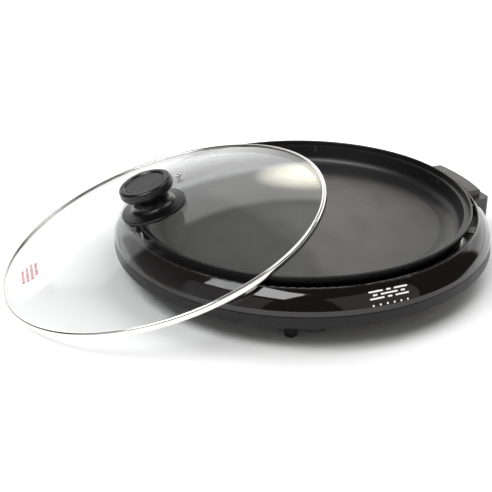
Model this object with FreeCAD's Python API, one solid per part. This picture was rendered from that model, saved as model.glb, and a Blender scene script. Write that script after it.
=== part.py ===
import FreeCAD, Part
import math
import os

from FreeCAD import Vector

# Round electric griddle: a ring-shaped plastic base with a side socket, a lift-out cast pan with its heater
# clamped underneath, and a domed glass lid that leans on the pan's lip with its far edge near the floor.
# Millimetres, +Z up. The origin is on the floor under the pan's vertical axis; +X points at the socket.

# ---------------------------------------------------------------- driving dimensions
GAP = 0.3                    # kept between curved faces of different bodies
SNUG = 0.1                   # slack of small pieces in their own holes, same body

# pan
PAN_LIP_R = 180.0
PAN_LIP_WALL = 2.3
PAN_LIP_RISE = 5.2           # lip top above the seat that the lid normally rests on
PAN_LIP_LEAN = 1.6           # the lip's outer face is this much further in at its foot
PAN_SEAT_WIDTH = 6.0
PAN_SEAT_T = 3.0
PAN_DEPTH = 20.0             # seat down to the cooking floor
PAN_T = 4.0                  # floor and wall
PAN_DRAFT = 8.0              # degrees
PAN_CORNER_R = 10.0
GUTTER_WIDTH = 12.0
GUTTER_DEPTH = 0.4
VENT_R = 3.0                 # steam notches in the seat's inner edge
VENT_BITE = 1.7
VENT_LEAN = 20.0             # degrees
VENT_COUNT = 6

# heights of the stack, from the floor up
FLOOR_GAP = 12.0             # underside of the base above the floor
REFLECTOR_AIR = 8.3          # reflector above the base's floor
HEATER_AIR = 10.5            # heater's clamps above the reflector
PAN_PROUD = 7.2              # pan's lip above the crest of the base
FACE_HEIGHT = 23.0           # crest down to the parting line of the two shells
LOWER_WALL = 10.1            # parting line down to the widest edge
SHELF_DROP = 6.1             # inner shelf below the parting line

# base shells
BASE_FLARE = 22.0            # widest edge past the pan's lip
SEAM_INSET = 0.8             # the seam's radius is this much smaller than BASE_R
CREST_CLEAR = 7.9            # crest's outer radius past the pan's lip
SHELL_T = 2.5
SEAM_GAP = 0.8
SKIRT_RISE = 5.0             # steep foot of the outer face
SKIRT_IN = 0.85
FACE_BULGE = 1.2             # crown of the face above the skirt
UNDER_SLOPE = 20.0           # degrees that the underside climbs to the widest edge
UNDER_ROUND = 1.5
SHELF_INSET = 14.0           # shelf's inner edge inside the pan's lip
TONGUE_RISE = 3.0

# base screws, feet, floor slots
BASE_SCREW_INSET = 2.0       # screw circle inside the pan's lip
BASE_SCREW_COUNT = 6
BASE_SCREW_TURN = 10.0       # degrees from +X to the first screw
BOSS_R = 11.0
BOSS_DROP = 3.5              # the bosses end this far above the flat underside
UPPER_BOSS_R = 3.6
COUNTERBORE_R = 4.6
COUNTERBORE_DEEP = 12.0
SCREW_R = 1.5
SCREW_HEAD_R = 3.0
SCREW_HEAD_H = 2.2
FOOT_X = 76.0
FOOT_INSET = 31.0            # feet's distance in Y inside the pan's lip
FOOT_R = 6.0
FOOT_RECESS = 4.0
SLOT_RING_COUNT = 3
SLOT_RING_PITCH = 34.0
SLOT_RING_INSET = 27.0       # outer ring inside the flat underside's edge
SLOT_LENGTH = 20.0
SLOT_WIDTH = 4.0
SLOTS_PER_RING = 12

# pan supports
SUPPORT_ANGLES = (-43.0, 77.0, 197.0)
SUPPORT_WIDTH = 14.0
SUPPORT_T = 1.8
SUPPORT_REACH = 3.8          # how far the tab goes in under the pan's lip

# reflector
REFLECTOR_T = 0.8
REFLECTOR_INSET = 8.0        # flat floor's edge inside the shelf's inner edge
REFLECTOR_RIM = 7.0
REFLECTOR_SCREWS = (17.0, 137.0, 257.0)

# heater
SHEATH_R = 3.3
COIL_INSET = 39.0            # outer loop's radius inside the terminal bracket
COIL_PITCH = 48.0            # outer loop to inner loop
COIL_GAP_ANGLE = 160.0       # degrees from +X to each return bend
LEAD_Y = 19.0
LEAD_BEND_R = 20.0
CLAMP_ANGLES = (40.0, 90.0, 140.0, 220.0, 270.0, 320.0)
CLAMP_WIDTH = 12.0
CLAMP_OVERHANG = 6.0
CLAMP_T = 1.2
PAN_BOSS_R = 4.5

# terminals
BRACKET_INSET = 23.0         # bracket's face inside the pan's lip
BRACKET_T = 1.5
BRACKET_HALF_Y = 38.0
BRACKET_DROP = 13.0          # plate's lower edge below the pan's underside
FLANGE_LENGTH = 18.0
BUSHING_R = 5.2
BUSHING_OUT = 5.0            # bushing in front of the bracket
BUSHING_BACK = 3.0
PIN_R = 2.4
PIN_NECK_R = 1.8
PIN_REACH = 22.0             # pin's tip past the bracket
PROBE_R = 3.3                # bore that takes the controller's probe
PROBE_WALL = 0.7
PROBE_BACK = 62.0            # tube's closed end behind the bracket
PROBE_REACH = 9.0            # its open end past the bracket

# socket housing
SOCKET_HALF_Y = 47.0
SOCKET_PROUD = 7.0           # socket's end past the widest edge
SOCKET_ROOF = 7.0            # socket's top above its mouth
SOCKET_SILL = 2.8            # mouth above the socket's underside
SOCKET_WALL = 3.0
SOCKET_CORNER_R = 5.0
MOUTH_HALF_Y = 33.0
MOUTH_BELOW = 9.9            # mouth's lower edge below the power pins
MOUTH_ABOVE = 9.8
COVER_HALF_Y = 41.0
COVER_PROUD = 1.5            # cover's outer arc past the widest edge
COVER_DROP = 0.1             # cover's top below the crest

# lid, in its own frame: z = 0 is the rim's top outer edge, +z out of the dome
LID_PLAY = 2.2               # rim's radius inside the pan's lip
LID_RISE = 26.0
GLASS_T = 3.5
RIM_SHEET = 0.6
RIM_HEIGHT = 5.0
RIM_GRIP = 4.0               # how far the rim reaches over the glass
RIM_BEAD_Z = 1.7             # top of the rolled bead
RIM_BEAD_IN = 1.4            # bead's top inside the rim's outer face
EDGE_DROP = 0.7              # glass edge below the rim's top edge
LID_OVERHANG = 27.2          # lid centre inside the pan's lip
LID_TURN = 175.0             # degrees from +X to the side that the lid slopes down to
EYELET_RHO = 71.2
EYELET_TURN = -123.1         # degrees from the downhill side
EYELET_BORE_R = 1.8
EYELET_R = 3.4

# knob
KNOB_FLANGE_R = 34.5
KNOB_FLANGE_T = 2.6
KNOB_NECK_R = 19.0
KNOB_TOP_R = 28.0
KNOB_SPLIT = 8.5             # parting line of base and grip above the dome's top
KNOB_HEIGHT = 29.6
KNOB_CAP_R = 20.5
KNOB_CAP_T = 1.6
KNOB_CAP_SUNK = 1.2
KNOB_HOLE_R = 2.6
GLASS_HOLE_R = 4.0
WASHER_R = 10.0

# ---------------------------------------------------------------- derived dimensions
REFLECTOR_FLOOR_Z = FLOOR_GAP + SHELL_T + REFLECTOR_AIR
CLAMP_TOP_Z = REFLECTOR_FLOOR_Z + HEATER_AIR
COIL_Z = CLAMP_TOP_Z + SHEATH_R + SNUG
UNDER_Z = COIL_Z + SHEATH_R + SNUG
FLOOR_Z = UNDER_Z + PAN_T
SEAT_Z = FLOOR_Z + PAN_DEPTH
SEAT_UNDER_Z = SEAT_Z - PAN_SEAT_T
PAN_TOP_Z = SEAT_Z + PAN_LIP_RISE
CREST_Z = PAN_TOP_Z - PAN_PROUD
SEAM_Z = CREST_Z - FACE_HEIGHT
BELT_Z = SEAM_Z - LOWER_WALL
SHELF_Z = SEAM_Z - SHELF_DROP
SHELF_TOP_Z = SHELF_Z + SHELL_T
SEAT_IN_R = PAN_LIP_R - PAN_LIP_WALL - PAN_SEAT_WIDTH
BASE_R = PAN_LIP_R + BASE_FLARE          # widest, at BELT_Z
CREST_R = PAN_LIP_R + CREST_CLEAR
WELL_R = CREST_R - SHELL_T               # inner face of the base ring
SEAM_R = BASE_R - SEAM_INSET
SKIRT_TOP_R = SEAM_R - SKIRT_IN
SKIRT_TOP_Z = SEAM_Z + SEAM_GAP / 2 + SKIRT_RISE
SHELF_IN_R = PAN_LIP_R - SHELF_INSET
BASE_SCREW_R = PAN_LIP_R - BASE_SCREW_INSET
BOSS_LOW_Z = FLOOR_GAP + BOSS_DROP
UNDER_TURN_R = BASE_R - UNDER_ROUND + UNDER_ROUND * math.sin(math.radians(UNDER_SLOPE))
UNDER_TURN_Z = BELT_Z - UNDER_ROUND * math.cos(math.radians(UNDER_SLOPE))
UNDER_FLAT_R = UNDER_TURN_R - (UNDER_TURN_Z - FLOOR_GAP) / math.tan(math.radians(UNDER_SLOPE))
FOOT_Y = PAN_LIP_R - FOOT_INSET
REFLECTOR_FLOOR_R = SHELF_IN_R - REFLECTOR_INSET
BRACKET_X = PAN_LIP_R - BRACKET_INSET
BRACKET_LOW_Z = UNDER_Z - BRACKET_DROP
FLANGE_TOP_Z = CLAMP_TOP_Z
PIN_TIP_X = BRACKET_X + PIN_REACH
COIL_OUT_R = BRACKET_X - COIL_INSET
COIL_IN_R = COIL_OUT_R - COIL_PITCH
PROBE_OUT_R = PROBE_R + PROBE_WALL
PROBE_Z = UNDER_Z - PROBE_OUT_R - SNUG
PROBE_BACK_X = BRACKET_X - PROBE_BACK
PROBE_FRONT_X = BRACKET_X + PROBE_REACH
SOCKET_OUT_X = BASE_R + SOCKET_PROUD
SOCKET_ROOT_X = SHELF_IN_R - 16
MOUTH_LOW_Z = COIL_Z - MOUTH_BELOW
MOUTH_HIGH_Z = COIL_Z + MOUTH_ABOVE
SOCKET_BOTTOM_Z = MOUTH_LOW_Z - SOCKET_SILL
SOCKET_TOP_Z = MOUTH_HIGH_Z + SOCKET_ROOF
COVER_OUT_R = BASE_R + COVER_PROUD
COVER_TOP_Z = CREST_Z - COVER_DROP
LID_R = PAN_LIP_R - PAN_LIP_WALL - LID_PLAY
LID_OFFSET = PAN_LIP_R - LID_OVERHANG    # lid centre from the pan's axis
LID_APEX = LID_RISE
GLASS_EDGE_R = LID_R - RIM_SHEET
GLASS_CHORD_H = LID_APEX + EDGE_DROP
GLASS_OUT_R = (GLASS_EDGE_R ** 2 + GLASS_CHORD_H ** 2) / (2 * GLASS_CHORD_H)
GLASS_CENTRE = LID_APEX - GLASS_OUT_R


# ---------------------------------------------------------------- shape helpers
def point(r, z):
    return Vector(r, 0, z)


def turned(start, *steps):
    """Solid of revolution about Z. A step is an end (r, z), or a pair (mid, end) for an arc."""
    here = point(*start)
    edges = []
    last = steps[-1][1] if isinstance(steps[-1][0], tuple) else steps[-1]
    closing = () if last == start else (start,)
    for step in steps + closing:
        if isinstance(step[0], tuple):
            end = point(*step[1])
            edges.append(Part.Arc(here, point(*step[0]), end).toShape())
        else:
            end = point(*step)
            edges.append(Part.LineSegment(here, end).toShape())
        here = end
    face = Part.Face(Part.Wire(edges))
    return face.revolve(Vector(0, 0, 0), Vector(0, 0, 1), 360)


def upright(radius, low, high, x=0.0, y=0.0):
    return Part.makeCylinder(radius, high - low, Vector(x, y, low))


def lying(radius, back, front, y, z):
    return Part.makeCylinder(radius, front - back, Vector(back, y, z), Vector(1, 0, 0))


def block(x0, x1, y0, y1, z0, z1):
    return Part.makeBox(x1 - x0, y1 - y0, z1 - z0, Vector(x0, y0, z0))


def turned_to(shape, angle):
    copy = shape.copy()
    copy.rotate(Vector(0, 0, 0), Vector(0, 0, 1), angle)
    return copy


def around(shape, angles):
    return [turned_to(shape, angle) for angle in angles]


def even_angles(count, first=0.0):
    return [first + 360.0 * i / count for i in range(count)]


def polar(radius, degrees):
    return radius * math.cos(math.radians(degrees)), radius * math.sin(math.radians(degrees))


def upward_screw(x, y, head_low, tip_z):
    """Pan-head screw driven up from below."""
    head = upright(SCREW_HEAD_R, head_low, head_low + SCREW_HEAD_H, x, y)
    shank = upright(SCREW_R, head_low + SCREW_HEAD_H, tip_z, x, y)
    slot = block(x - SCREW_HEAD_R, x + SCREW_HEAD_R, y - 0.4, y + 0.4, head_low, head_low + 0.8)
    return head.fuse(shank).removeSplitter().cut(slot)


def softened(shape, radius, wanted):
    """Fillets the edges for which wanted(edge) is true."""
    edges = [edge for edge in shape.Edges if wanted(edge)]
    return shape.makeFillet(radius, edges)


# ---------------------------------------------------------------- pan
def pan_boss_places():
    """Centres of the bosses under the pan: one per clamp, and two for the terminal bracket."""
    mid_r = (COIL_OUT_R + COIL_IN_R) / 2
    clamps = [polar(mid_r, angle) for angle in CLAMP_ANGLES]
    flange_x = BRACKET_X - FLANGE_LENGTH / 2
    bracket = [(flange_x, side * (BRACKET_HALF_Y - PAN_BOSS_R - 2)) for side in (-1, 1)]
    return clamps, bracket


def griddle_pan():
    draft = math.radians(PAN_DRAFT)
    lean = math.radians(-PAN_DRAFT)
    half = math.radians(-45 - PAN_DRAFT / 2)
    turn_z = FLOOR_Z + PAN_CORNER_R
    wall_z = turn_z + PAN_CORNER_R * math.sin(lean)
    wall_r = SEAT_IN_R - (SEAT_Z - wall_z) * math.tan(draft)
    turn_r = wall_r - PAN_CORNER_R * math.cos(lean)
    out_r = PAN_CORNER_R + PAN_T
    outer_seat_r = turn_r + out_r * math.cos(lean) + (
        SEAT_UNDER_Z - turn_z - out_r * math.sin(lean)) * math.tan(draft)
    lip_round = PAN_LIP_WALL / 2
    gutter_mid = turn_r - GUTTER_WIDTH / 2
    body = turned(
        (0, UNDER_Z), (turn_r, UNDER_Z),
        ((turn_r + out_r * math.cos(half), turn_z + out_r * math.sin(half)),
         (turn_r + out_r * math.cos(lean), turn_z + out_r * math.sin(lean))),
        (outer_seat_r, SEAT_UNDER_Z), (PAN_LIP_R - PAN_LIP_LEAN, SEAT_UNDER_Z),
        (PAN_LIP_R, PAN_TOP_Z - lip_round),
        ((PAN_LIP_R - lip_round, PAN_TOP_Z), (PAN_LIP_R - PAN_LIP_WALL, PAN_TOP_Z - lip_round)),
        (PAN_LIP_R - PAN_LIP_WALL, SEAT_Z), (SEAT_IN_R, SEAT_Z), (wall_r, wall_z),
        ((turn_r + PAN_CORNER_R * math.cos(half), turn_z + PAN_CORNER_R * math.sin(half)),
         (turn_r, FLOOR_Z)),
        ((gutter_mid, FLOOR_Z - GUTTER_DEPTH), (turn_r - GUTTER_WIDTH, FLOOR_Z)),
        (0, FLOOR_Z))
    clamps, bracket = pan_boss_places()
    for x, y in clamps + bracket:
        body = body.fuse(upright(PAN_BOSS_R, CLAMP_TOP_Z, UNDER_Z + 0.5, x, y))
        body = body.cut(upright(SCREW_R + SNUG / 2, CLAMP_TOP_Z - 1, UNDER_Z + 0.5, x, y))
    return cut_vents(body).removeSplitter()


def cut_vents(body):
    lean = math.radians(VENT_LEAN)
    reach = PAN_DEPTH / 2 + PAN_LIP_RISE
    centre_r = SEAT_IN_R + VENT_BITE - VENT_R / math.cos(lean)
    foot = Vector(centre_r - PAN_DEPTH / 2 * math.tan(lean), 0, SEAT_Z - PAN_DEPTH / 2)
    tool = Part.makeCylinder(VENT_R, reach / math.cos(lean), foot, Vector(math.sin(lean), 0, math.cos(lean)))
    for notch in around(tool, even_angles(VENT_COUNT)):
        body = body.cut(notch)
    return body


# ---------------------------------------------------------------- heater under the pan
def coil_path():
    """Centreline of the sheath: a lead, the outer arc, a return bend, the inner arc, and the mirror of it."""
    level = COIL_Z
    bend_y = LEAD_Y + LEAD_BEND_R
    bend_x = math.sqrt((COIL_OUT_R + LEAD_BEND_R) ** 2 - bend_y ** 2)
    share = COIL_OUT_R / (COIL_OUT_R + LEAD_BEND_R)
    join = Vector(bend_x * share, bend_y * share, level)
    join_angle = math.degrees(math.atan2(bend_y, bend_x))
    mid_turn = math.radians((90 + join_angle) / 2)
    bend_mid = Vector(bend_x - LEAD_BEND_R * math.cos(mid_turn), bend_y - LEAD_BEND_R * math.sin(mid_turn), level)
    mid_r = (COIL_OUT_R + COIL_IN_R) / 2
    return_r = (COIL_OUT_R - COIL_IN_R) / 2
    past = COIL_GAP_ANGLE + math.degrees(math.atan2(return_r, mid_r))
    tip_r = math.hypot(return_r, mid_r)

    def at(radius, angle, side):
        x, y = polar(radius, angle)
        return Vector(x, side * y, level)

    lead_end_x = BRACKET_X - BUSHING_BACK
    halves = []
    for side in (1, -1):
        start = Vector(lead_end_x, side * LEAD_Y, level)
        turn = Vector(bend_x, side * LEAD_Y, level)
        meet = Vector(join.x, side * join.y, level)
        halves.append([
            Part.LineSegment(start, turn).toShape(),
            Part.Arc(turn, Vector(bend_mid.x, side * bend_mid.y, level), meet).toShape(),
            Part.Arc(meet, at(COIL_OUT_R, (join_angle + COIL_GAP_ANGLE) / 2, side),
                     at(COIL_OUT_R, COIL_GAP_ANGLE, side)).toShape(),
            Part.Arc(at(COIL_OUT_R, COIL_GAP_ANGLE, side), at(tip_r, past, side),
                     at(COIL_IN_R, COIL_GAP_ANGLE, side)).toShape()])
    inner = Part.Arc(at(COIL_IN_R, COIL_GAP_ANGLE, 1), at(COIL_IN_R, 0, 1),
                     at(COIL_IN_R, COIL_GAP_ANGLE, -1)).toShape()
    return Part.Wire(halves[0] + [inner] + halves[1][::-1])


def heating_element():
    path = coil_path()
    start = Vector(BRACKET_X - BUSHING_BACK, LEAD_Y, COIL_Z)
    section = Part.Wire(Part.makeCircle(SHEATH_R, start, Vector(1, 0, 0)))
    return path.makePipeShell([section], True, False)


def element_clamps():
    low = COIL_IN_R - CLAMP_OVERHANG
    high = COIL_OUT_R + CLAMP_OVERHANG
    strap = block(low, high, -CLAMP_WIDTH / 2, CLAMP_WIDTH / 2, CLAMP_TOP_Z - CLAMP_T, CLAMP_TOP_Z)
    strap = softened(strap, CLAMP_WIDTH / 3, lambda e: abs(e.tangentAt(e.FirstParameter).z) > 0.9)
    hole = upright(SCREW_R + SNUG, CLAMP_TOP_Z - 5, CLAMP_TOP_Z + 5, (low + high) / 2, 0)
    return around(strap.cut(hole), CLAMP_ANGLES)


def clamp_screws():
    clamps, bracket = pan_boss_places()
    screws = [upward_screw(x, y, CLAMP_TOP_Z - CLAMP_T - SCREW_HEAD_H, UNDER_Z - 0.5) for x, y in clamps]
    screws += [upward_screw(x, y, FLANGE_TOP_Z - BRACKET_T - SCREW_HEAD_H, UNDER_Z - 0.5) for x, y in bracket]
    return screws


def terminal_bracket():
    front = BRACKET_X + BRACKET_T
    plate = block(BRACKET_X, front, -BRACKET_HALF_Y, BRACKET_HALF_Y, BRACKET_LOW_Z, UNDER_Z - SNUG)
    flange = block(BRACKET_X - FLANGE_LENGTH, front, -BRACKET_HALF_Y, BRACKET_HALF_Y,
                   FLANGE_TOP_Z - BRACKET_T, FLANGE_TOP_Z)
    shape = plate.fuse(flange)
    relief = PROBE_OUT_R + SNUG
    shape = shape.cut(block(BRACKET_X - FLANGE_LENGTH - 1, BRACKET_X, -relief - 4, relief + 4,
                            FLANGE_TOP_Z - BRACKET_T - 1, FLANGE_TOP_Z + 1))
    for side in (-1, 1):
        back = BRACKET_X - BUSHING_BACK - SNUG
        shape = shape.cut(lying(BUSHING_R + SNUG, back, front + 1, side * LEAD_Y, COIL_Z))
    shape = shape.cut(lying(relief, BRACKET_X - 1, front + 1, 0, PROBE_Z))
    for x, y in pan_boss_places()[1]:
        shape = shape.cut(upright(SCREW_R + SNUG, FLANGE_TOP_Z - 5, FLANGE_TOP_Z + 5, x, y))
    return shape.removeSplitter()


def terminal_bushings():
    """Ceramic sleeves round the pins, ground flat on top where they pass just under the pan."""
    back = BRACKET_X - BUSHING_BACK
    front = BRACKET_X + BRACKET_T + BUSHING_OUT
    bushings = []
    for side in (-1, 1):
        body = lying(BUSHING_R, back, front, side * LEAD_Y, COIL_Z)
        body = body.cut(lying(PIN_NECK_R + SNUG, back - 1, front + 1, side * LEAD_Y, COIL_Z))
        body = body.cut(block(back - 1, front + 1, -60, 60, UNDER_Z - SNUG, UNDER_Z + 20))
        bushings.append(body)
    return bushings


def terminal_pins():
    back = BRACKET_X - BUSHING_BACK
    shoulder = BRACKET_X + BRACKET_T + BUSHING_OUT
    pins = []
    for side in (-1, 1):
        neck = lying(PIN_NECK_R, back, shoulder + 1, side * LEAD_Y, COIL_Z)
        shaft = lying(PIN_R, shoulder, PIN_TIP_X, side * LEAD_Y, COIL_Z)
        shaft = softened(shaft, PIN_R / 3, lambda e: e.CenterOfMass.x > PIN_TIP_X - 0.1 and len(e.Vertexes) == 1)
        pins.append(neck.fuse(shaft).removeSplitter())
    return pins


def probe_tube():
    tube = lying(PROBE_OUT_R, PROBE_BACK_X, PROBE_FRONT_X, 0, PROBE_Z)
    return tube.cut(lying(PROBE_R, PROBE_BACK_X + 2, PROBE_FRONT_X + 1, 0, PROBE_Z))


# ---------------------------------------------------------------- base shells
def face_mid(inset):
    """Middle point of the crowned face above the skirt, moved inwards by inset."""
    mid_r = (SKIRT_TOP_R + CREST_R) / 2
    mid_z = (SKIRT_TOP_Z + CREST_Z) / 2
    slope = math.atan2(CREST_Z - SKIRT_TOP_Z, SKIRT_TOP_R - CREST_R)
    out = FACE_BULGE - inset
    return mid_r + out * math.sin(slope), mid_z + out * math.cos(slope)


def socket_zone(grow, low, high):
    """Block that the socket housing fills, with its outer corners rounded as the housing's."""
    return block(SOCKET_ROOT_X, SOCKET_OUT_X + 30, -SOCKET_HALF_Y - grow, SOCKET_HALF_Y + grow, low, high)


def upper_housing():
    bead = SHELL_T / 2
    top = CREST_Z - bead
    foot_z = SEAM_Z + SEAM_GAP / 2
    under_top = top - SHELL_T
    shape = turned(
        (SEAM_R, foot_z), (SKIRT_TOP_R, SKIRT_TOP_Z), (face_mid(0), (CREST_R, top)),
        ((CREST_R - bead, CREST_Z), (WELL_R, top)),
        (WELL_R, SHELF_TOP_Z), (SHELF_IN_R, SHELF_TOP_Z), (SHELF_IN_R, SHELF_Z), (CREST_R, SHELF_Z),
        (CREST_R, under_top - 1.0), (face_mid(SHELL_T), (SKIRT_TOP_R - SHELL_T, SKIRT_TOP_Z)),
        (SEAM_R - SHELL_T, foot_z))
    for angle in base_screw_angles():
        x, y = polar(BASE_SCREW_R, angle)
        shape = shape.fuse(upright(UPPER_BOSS_R, SHELF_Z, SHELF_TOP_Z + 8, x, y))
        shape = shape.cut(upright(SCREW_R + SNUG, SHELF_Z - 1, SHELF_TOP_Z + 7, x, y))
    mid_rim = SHELF_IN_R + REFLECTOR_RIM / 2
    for angle in REFLECTOR_SCREWS:
        x, y = polar(mid_rim, angle)
        shape = shape.cut(upright(SCREW_R + SNUG, SHELF_Z - 1, SHELF_TOP_Z + 1, x, y))
    # the cover stands outside the crest, the socket housing below it, and the controller's way in goes through
    outside = block(0, SOCKET_OUT_X + 30, -COVER_HALF_Y - SNUG, COVER_HALF_Y + SNUG, SHELF_Z, COVER_TOP_Z + 5)
    outside = outside.cut(upright(CREST_R, 0, COVER_TOP_Z + 10))
    lower = socket_zone(SNUG, SHELF_Z - 20, SOCKET_TOP_Z + SNUG).cut(upright(CREST_R, 0, COVER_TOP_Z + 10))
    way_in = block(SOCKET_ROOT_X, CREST_R + 5, -MOUTH_HALF_Y, MOUTH_HALF_Y, SHELF_Z - 5, MOUTH_HIGH_Z)
    notch = block(SOCKET_ROOT_X, WELL_R - 3, -BRACKET_HALF_Y - 5, BRACKET_HALF_Y + 5, SHELF_Z - 5, SHELF_TOP_Z + 0.01)
    return shape.cut(outside).cut(lower).cut(way_in).cut(notch).removeSplitter()


def base_screw_angles():
    """The screw nearest the socket is left out: the socket's own screws hold that stretch."""
    angles = even_angles(BASE_SCREW_COUNT, BASE_SCREW_TURN)
    return [a for a in angles if abs((a + 180) % 360 - 180) > 20]


def lower_housing():
    rim_z = SEAM_Z - SEAM_GAP / 2
    tongue_out = SEAM_R - SHELL_T - 1.2
    tongue_in = tongue_out - 2.2
    slope = math.radians(UNDER_SLOPE)
    half_turn = math.radians(90 - UNDER_SLOPE) / 2
    round_mid = (BASE_R - UNDER_ROUND * (1 - math.cos(half_turn)), BELT_Z - UNDER_ROUND * math.sin(half_turn))
    flat_in_r = UNDER_FLAT_R - SHELL_T * math.tan(slope / 2)
    wall_in_r = BASE_R - SHELL_T
    wall_in_z = FLOOR_GAP + SHELL_T + (wall_in_r - flat_in_r) * math.tan(slope)
    shape = turned(
        (SEAM_R, rim_z), (BASE_R, BELT_Z), (round_mid, (UNDER_TURN_R, UNDER_TURN_Z)),
        (UNDER_FLAT_R, FLOOR_GAP), (0, FLOOR_GAP),
        (0, FLOOR_GAP + SHELL_T), (flat_in_r, FLOOR_GAP + SHELL_T), (wall_in_r, wall_in_z),
        (tongue_in, rim_z - 3.5), (tongue_in, rim_z + TONGUE_RISE), (tongue_out, rim_z + TONGUE_RISE),
        (tongue_out, rim_z))
    for angle in base_screw_angles():
        x, y = polar(BASE_SCREW_R, angle)
        shape = shape.fuse(upright(BOSS_R, BOSS_LOW_Z, SHELF_Z, x, y))
        shape = shape.cut(upright(COUNTERBORE_R, FLOOR_GAP - 1, FLOOR_GAP + COUNTERBORE_DEEP, x, y))
        shape = shape.cut(upright(SCREW_R + SNUG, FLOOR_GAP, SHELF_Z + 1, x, y))
    for x, y in foot_places():
        shape = shape.fuse(upright(FOOT_R, FLOOR_GAP, FLOOR_GAP + 10, x, y))
        shape = shape.cut(upright(SCREW_R + SNUG, FLOOR_GAP - 1, FLOOR_GAP + 9, x, y))
    shape = shape.cut(socket_zone(SNUG, SOCKET_BOTTOM_Z - SNUG, SEAM_Z + 20).cut(upright(CREST_R, 0, 80)))
    for slot in floor_slots():
        shape = shape.cut(slot)
    for x, y in socket_screw_places():
        shape = shape.cut(upright(COUNTERBORE_R, 0, SOCKET_BOTTOM_Z, x, y))
    return shape.removeSplitter()


def floor_slots():
    """Air slots through the floor, in rings, with round ends."""
    slots = []
    half = SLOT_LENGTH / 2 - SLOT_WIDTH / 2
    for ring in range(SLOT_RING_COUNT):
        radius = UNDER_FLAT_R - SLOT_RING_INSET - ring * SLOT_RING_PITCH
        low = FLOOR_GAP - 1
        high = FLOOR_GAP + SHELL_T + 1
        slot = block(radius - half, radius + half, -SLOT_WIDTH / 2, SLOT_WIDTH / 2, low, high)
        for end in (-half, half):
            slot = slot.fuse(upright(SLOT_WIDTH / 2, low, high, radius + end, 0))
        slots += around(slot, even_angles(SLOTS_PER_RING, 15.0 * (ring % 2)))
    return slots


def foot_places():
    return [(sx * FOOT_X, sy * FOOT_Y) for sx in (-1, 1) for sy in (-1, 1)]


def rubber_feet():
    feet = []
    for x, y in foot_places():
        foot = upright(FOOT_R, 0, FLOOR_GAP, x, y)
        foot = softened(foot, 0.8, lambda e: e.CenterOfMass.z < 0.1 and len(e.Vertexes) == 1)
        foot = foot.cut(upright(SCREW_HEAD_R + SNUG, -1, FOOT_RECESS + SCREW_HEAD_H, x, y))
        feet.append(foot.cut(upright(SCREW_R + SNUG, 0, FLOOR_GAP + 1, x, y)))
    return feet


def foot_screws():
    return [upward_screw(x, y, FOOT_RECESS, FLOOR_GAP + 8.5) for x, y in foot_places()]


def housing_screws():
    head_low = FLOOR_GAP + COUNTERBORE_DEEP - SCREW_HEAD_H
    screws = []
    for angle in base_screw_angles():
        x, y = polar(BASE_SCREW_R, angle)
        screws.append(upward_screw(x, y, head_low, SHELF_TOP_Z + 6.5))
    return screws


def pan_supports():
    """Z-shaped steel brackets: a foot on the shelf, an upright against the well, a tab under the pan's lip."""
    half = SUPPORT_WIDTH / 2
    back = math.sqrt(WELL_R ** 2 - half ** 2) - SNUG
    tab_in = PAN_LIP_R - SUPPORT_REACH
    tab = block(tab_in, back, -half, half, SEAT_UNDER_Z - SUPPORT_T, SEAT_UNDER_Z)
    post = block(back - SUPPORT_T, back, -half, half, SHELF_TOP_Z, SEAT_UNDER_Z)
    foot = block(back - SUPPORT_T - 8, back, -half, half, SHELF_TOP_Z, SHELF_TOP_Z + SUPPORT_T)
    shape = tab.fuse(post).fuse(foot).removeSplitter()
    return around(shape, SUPPORT_ANGLES)


def heat_reflector():
    rim_in = SHELF_IN_R + 0.5
    rim_out = rim_in + REFLECTOR_RIM
    low = REFLECTOR_FLOOR_Z
    t = REFLECTOR_T
    drop = rim_in - 1.5
    shape = turned(
        (0, low), (REFLECTOR_FLOOR_R, low), (drop - t, SHELF_TOP_Z - 1), (drop, SHELF_TOP_Z),
        (rim_out, SHELF_TOP_Z), (rim_out, SHELF_TOP_Z + t), (drop - t, SHELF_TOP_Z + t),
        (REFLECTOR_FLOOR_R - t, low + t), (0, low + t))
    notch = block(REFLECTOR_FLOOR_R - 12, SHELF_IN_R + 24, -BRACKET_HALF_Y - 5, BRACKET_HALF_Y + 5, low + t + 1, 50)
    shape = shape.cut(notch)
    mid_rim = SHELF_IN_R + REFLECTOR_RIM / 2
    for angle in REFLECTOR_SCREWS:
        x, y = polar(mid_rim, angle)
        shape = shape.cut(upright(SCREW_R + SNUG, low, 50, x, y))
    return shape.removeSplitter()


def reflector_screws():
    """Driven down through the reflector's rim into the shelf."""
    mid_rim = SHELF_IN_R + REFLECTOR_RIM / 2
    top = SHELF_TOP_Z + REFLECTOR_T
    head = upright(SCREW_HEAD_R, top, top + 1.6, mid_rim, 0)
    screw = head.fuse(upright(SCREW_R, SHELF_Z, top, mid_rim, 0)).removeSplitter()
    screw = screw.cut(block(mid_rim - 4, mid_rim + 4, -0.4, 0.4, top + 0.9, top + 2))
    return around(screw, REFLECTOR_SCREWS)


# ---------------------------------------------------------------- socket housing
def socket_screw_places():
    inset = SOCKET_CORNER_R + 1.5
    x = (CREST_R + SOCKET_OUT_X) / 2 - 2
    return [(x, side * (COVER_HALF_Y - inset)) for side in (-1, 1)]


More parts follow.
